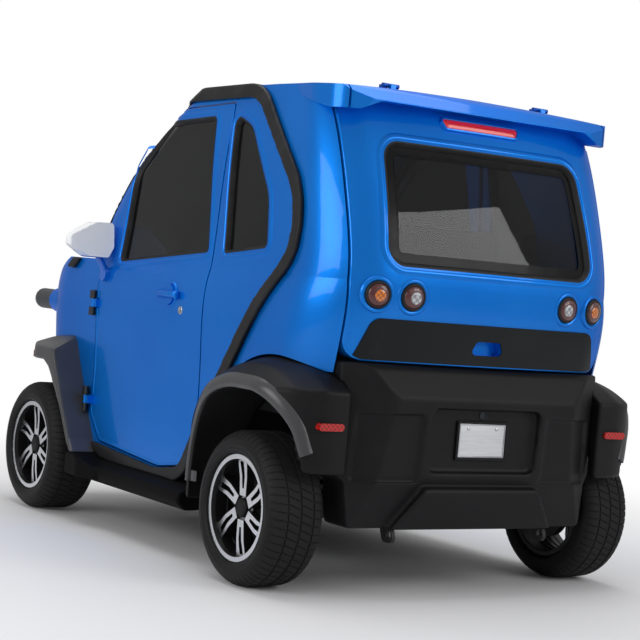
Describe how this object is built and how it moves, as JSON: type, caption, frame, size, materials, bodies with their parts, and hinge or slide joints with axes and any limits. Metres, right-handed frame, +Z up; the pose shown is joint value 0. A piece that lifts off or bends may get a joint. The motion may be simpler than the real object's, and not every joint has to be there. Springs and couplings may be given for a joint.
{
  "type": "two-door electric city car",
  "caption": "Small two-door electric car with a roof-hinged tailgate, flared black fenders, alloy wheels, opening doors and steered front wheels.",
  "frame": {"origin": "on the ground at the middle of the car's length and width", "axes": "+X forward, +Y to the car's left, +Z up"},
  "size_m": [2.214, 1.522, 1.548],
  "materials": {
    "body_blue": "gloss",
    "black_plastic": "satin grain",
    "rubber": "satin",
    "glass": "clear",
    "dark_glass": "tinted",
    "tyre": "matte",
    "rim": "machined and black",
    "red_lens": "clear lens",
    "mirror_shell": "polished",
    "plate": "satin",
    "chassis": "satin",
    "damper": "satin",
    "hinge_metal": "satin",
    "seat_cover": "matte",
    "dash_plastic": "matte grain"
  },
  "bodies": {
    "body": {"chassis_frame": "chassis", "floor_pan": "chassis", "battery_box": "black_plastic", "rear_axle": "chassis", "front_axle": "chassis", "dampers": "damper", "roof_panel": "body_blue", "side_frames": "body_blue", "rear_quarters": "body_blue", "nose_panel": "body_blue", "windscreen": "glass", "side_glass": "dark_glass", "seal_bands": "rubber", "sills": "black_plastic", "rear_fenders": "black_plastic", "front_fenders": "black_plastic", "rear_bumper": "black_plastic", "front_bumper": "black_plastic", "headlamps": "black_plastic", "seats": "seat_cover", "dashboard": "dash_plastic", "steering_column": "dash_plastic", "hinges": "hinge_metal", "number_plate": "plate", "reflectors": "red_lens"},
    "steering_wheel": {"steering_wheel": "dash_plastic"},
    "tailgate": {"tailgate": "body_blue", "tailgate_glass": "dark_glass", "tailgate_panel": "black_plastic", "tail_lamps": "red_lens"},
    "door_left": {"door_left": "body_blue", "door_glass_left": "glass", "door_handle_left": "body_blue", "mirror_left": "mirror_shell"},
    "knuckle_left": {"knuckle_left": "chassis"},
    "wheel_front_left": {"tyre_front_left": "tyre", "rim_front_left": "rim"},
    "wheel_rear_left": {"tyre_rear_left": "tyre", "rim_rear_left": "rim"},
    "door_right": {"door_right": "body_blue", "door_glass_right": "glass", "door_handle_right": "body_blue", "mirror_right": "mirror_shell"},
    "knuckle_right": {"knuckle_right": "chassis"},
    "wheel_front_right": {"tyre_front_right": "tyre", "rim_front_right": "rim"},
    "wheel_rear_right": {"tyre_rear_right": "tyre", "rim_rear_right": "rim"}
  },
  "joints": [
    {"name": "steer_left", "type": "hinge", "parent": "body", "child": "knuckle_left", "pos_m": [0.705, 0.543, 0.233], "axis": [0, 0, 1], "range_deg": [-24, 24]},
    {"name": "front_wheel_spin_left", "type": "hinge", "parent": "knuckle_left", "child": "wheel_front_left", "pos_m": [0.705, 0.605, 0.233], "axis": [0, 1, 0], "continuous": true},
    {"name": "rear_wheel_spin_left", "type": "hinge", "parent": "body", "child": "wheel_rear_left", "pos_m": [-0.795, 0.605, 0.233], "axis": [0, 1, 0], "continuous": true},
    {"name": "door_left_hinge", "type": "hinge", "parent": "body", "child": "door_left", "pos_m": [0.45, 0.603, 0.6], "axis": [0, 0, -1], "range_deg": [0, 65]},
    {"name": "steer_right", "type": "hinge", "parent": "body", "child": "knuckle_right", "pos_m": [0.705, -0.543, 0.233], "axis": [0, 0, 1], "range_deg": [-24, 24]},
    {"name": "front_wheel_spin_right", "type": "hinge", "parent": "knuckle_right", "child": "wheel_front_right", "pos_m": [0.705, -0.605, 0.233], "axis": [0, 1, 0], "continuous": true},
    {"name": "rear_wheel_spin_right", "type": "hinge", "parent": "body", "child": "wheel_rear_right", "pos_m": [-0.795, -0.605, 0.233], "axis": [0, 1, 0], "continuous": true},
    {"name": "door_right_hinge", "type": "hinge", "parent": "body", "child": "door_right", "pos_m": [0.45, -0.603, 0.6], "axis": [0, 0, 1], "range_deg": [0, 65]},
    {"name": "tailgate_hinge", "type": "hinge", "parent": "body", "child": "tailgate", "pos_m": [-0.854, 0, 1.541], "axis": [0, 1, 0], "range_deg": [0, 78]},
    {"name": "steering_wheel_turn", "type": "hinge", "parent": "body", "child": "steering_wheel", "pos_m": [0.165, 0.24, 0.95], "axis": [-0.8192, 0, 0.5736], "range_deg": [-340, 340]}
  ],
  "couplings": [
    {"joint": "steer_right", "follows": "steer_left", "ratio": 1},
    {"joint": "steering_wheel_turn", "follows": "steer_left", "ratio": 14}
  ]
}
